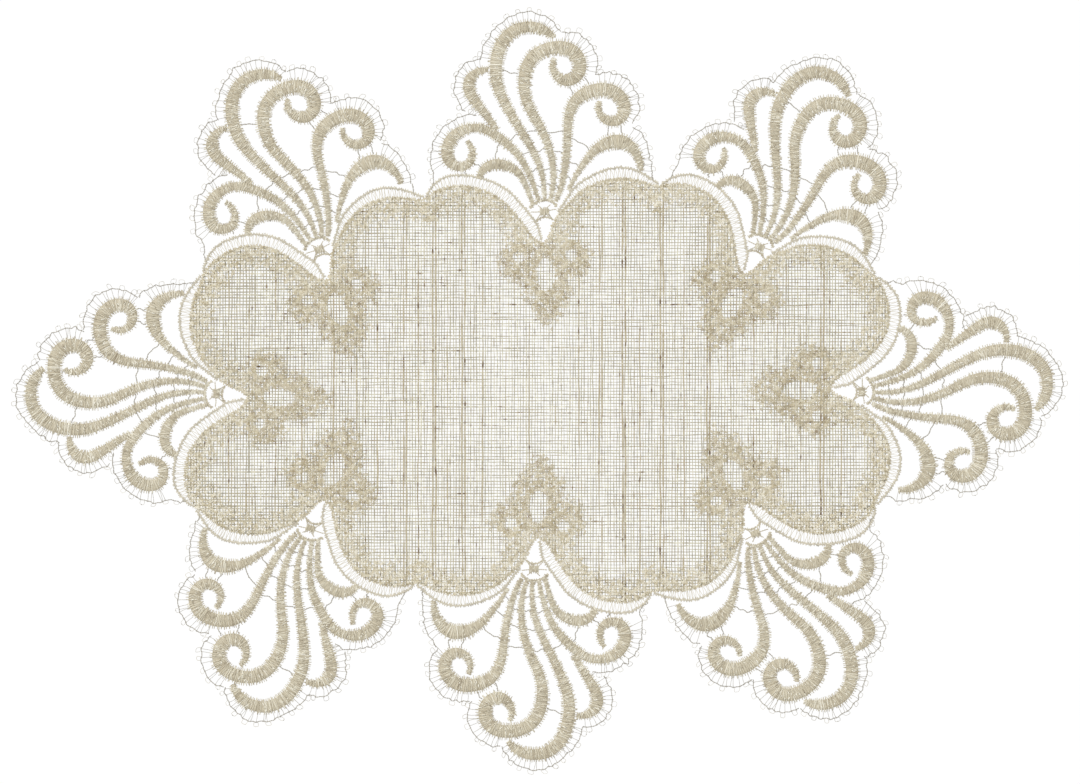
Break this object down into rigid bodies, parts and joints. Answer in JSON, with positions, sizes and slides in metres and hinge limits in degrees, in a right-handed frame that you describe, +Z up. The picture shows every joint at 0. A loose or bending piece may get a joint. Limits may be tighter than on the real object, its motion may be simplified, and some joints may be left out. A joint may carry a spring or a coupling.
{
  "type": "table runner",
  "caption": "Small oval-ended table runner: sheer slubby linen centre edged all round with openwork embroidered fans of satin scrolls, net and picot loops, lying flat.",
  "frame": {"origin": "middle of the underside of the runner, on the surface that it lies on", "axes": "+X along the runner's length, +Y across it, +Z up from the table"},
  "size_m": [0.3804, 0.2764, 0.0012],
  "materials": {
    "linen": "sheer plain-weave linen look, slubby natural beige with darker flecks, matt",
    "satin_thread": "padded satin stitch in soft beige rayon-look thread, slight sheen across the stitches",
    "loop_thread": "dense loop stitching in the same beige thread, matt and nubbly",
    "net_thread": "fine twisted beige-grey thread, matt"
  },
  "bodies": {
    "root": {"linen_ground": "linen", "fan_n_scrolls": "satin_thread", "fan_n_brides": "net_thread", "fan_n_rosette": "satin_thread", "fan_n_picot_edging": "net_thread", "fan_n_ladder": "net_thread", "fan_n_border": "loop_thread", "fan_n_fleur": "loop_thread", "fan_ne_scrolls": "satin_thread", "fan_ne_brides": "net_thread", "fan_ne_rosette": "satin_thread", "fan_ne_picot_edging": "net_thread", "fan_ne_ladder": "net_thread", "fan_ne_border": "loop_thread", "fan_ne_fleur": "loop_thread", "fan_e_scrolls": "satin_thread", "fan_e_brides": "net_thread", "fan_e_rosette": "satin_thread", "fan_e_picot_edging": "net_thread", "fan_e_ladder": "net_thread", "fan_e_border": "loop_thread", "fan_e_fleur": "loop_thread", "fan_se_scrolls": "satin_thread", "fan_se_brides": "net_thread", "fan_se_rosette": "satin_thread", "fan_se_picot_edging": "net_thread", "fan_se_ladder": "net_thread", "fan_se_border": "loop_thread", "fan_se_fleur": "loop_thread", "fan_s_scrolls": "satin_thread", "fan_s_brides": "net_thread", "fan_s_rosette": "satin_thread", "fan_s_picot_edging": "net_thread", "fan_s_ladder": "net_thread", "fan_s_border": "loop_thread", "fan_s_fleur": "loop_thread", "fan_sw_scrolls": "satin_thread", "fan_sw_brides": "net_thread", "fan_sw_rosette": "satin_thread", "fan_sw_picot_edging": "net_thread", "fan_sw_ladder": "net_thread", "fan_sw_border": "loop_thread", "fan_sw_fleur": "loop_thread", "fan_w_scrolls": "satin_thread", "fan_w_brides": "net_thread", "fan_w_rosette": "satin_thread", "fan_w_picot_edging": "net_thread", "fan_w_ladder": "net_thread", "fan_w_border": "loop_thread", "fan_w_fleur": "loop_thread", "fan_nw_scrolls": "satin_thread", "fan_nw_brides": "net_thread", "fan_nw_rosette": "satin_thread", "fan_nw_picot_edging": "net_thread", "fan_nw_ladder": "net_thread", "fan_nw_border": "loop_thread", "fan_nw_fleur": "loop_thread"}
  },
  "joints": []
}
